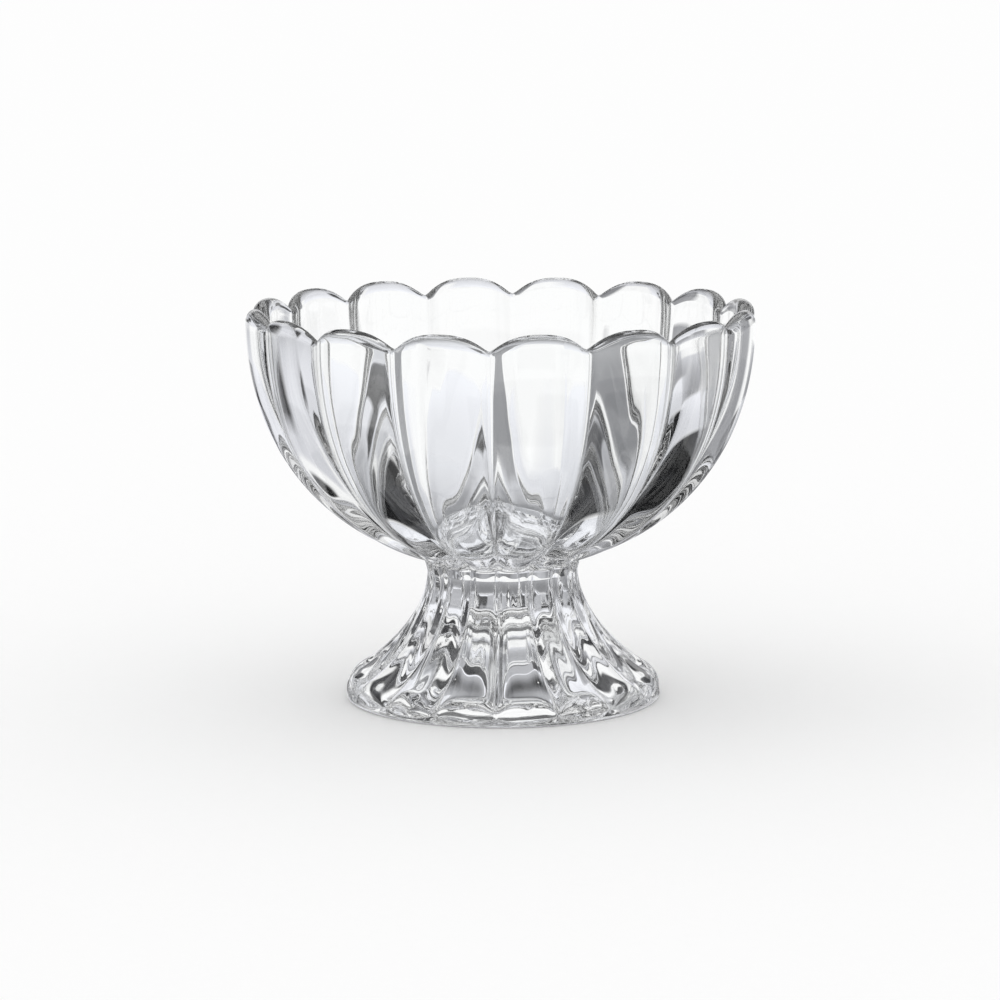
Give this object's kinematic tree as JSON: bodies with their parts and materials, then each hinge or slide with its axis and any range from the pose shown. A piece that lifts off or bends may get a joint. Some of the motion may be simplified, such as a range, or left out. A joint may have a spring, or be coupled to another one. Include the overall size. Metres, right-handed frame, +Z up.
{
  "type": "ice cream cup",
  "caption": "Footed ice cream cup of clear pressed glass: a round bowl of standing petals with a scalloped rim, joined by a thin glass wafer to a hollow fluted foot.",
  "frame": {"origin": "middle of the base, on the surface that the cup stands on", "axes": "+Z up along the axis of the cup, -Y towards a groove between two petals, which faces the front"},
  "size_m": [0.1006, 0.1006, 0.079],
  "materials": {
    "bowl_glass": "clear, fire polished, with the slight waviness of pressed glass",
    "wafer_glass": "clear, fire polished",
    "foot_glass": "clear, fire polished outside, finely pebbled in the hollow underneath"
  },
  "bodies": {
    "root": {"bowl": "bowl_glass", "wafer": "wafer_glass", "foot": "foot_glass"}
  },
  "joints": []
}
